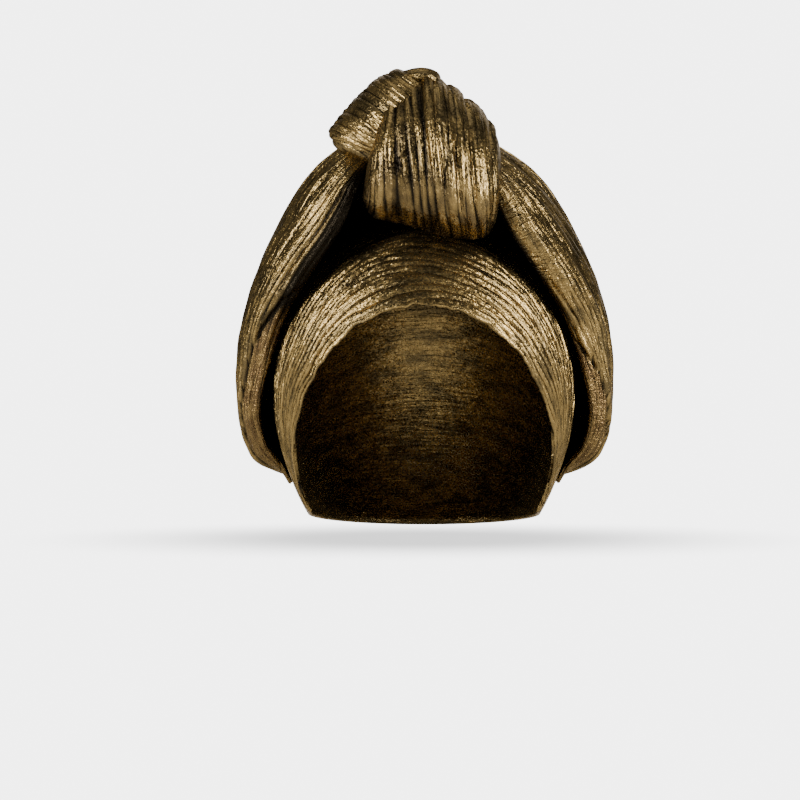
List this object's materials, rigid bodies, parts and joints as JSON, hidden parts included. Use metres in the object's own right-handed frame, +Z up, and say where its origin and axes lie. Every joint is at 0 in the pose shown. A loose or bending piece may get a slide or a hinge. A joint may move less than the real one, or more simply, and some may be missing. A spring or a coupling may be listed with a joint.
{
  "type": "tied gele head tie",
  "caption": "Head tie of crinkled gold cloth: a fitted creased cap, an outer wrap standing off round the head, and a folded knot at the top front.",
  "frame": {"origin": "the highest point of the inside of the cap, where the cloth bears on the crown of the head", "axes": "+Z up along the head, +X to the right of a viewer who faces the wearer, the forehead and the knot face -Y"},
  "size_m": [0.2068, 0.2064, 0.2499],
  "materials": {
    "first_layer": "crinkled gold lame cloth, metallic sheen",
    "outer_layer": "crinkled gold lame cloth, metallic sheen"
  },
  "bodies": {
    "root": {"cap": "first_layer", "wrap": "outer_layer", "knot_band": "outer_layer", "knot_lobe": "outer_layer"}
  },
  "joints": []
}
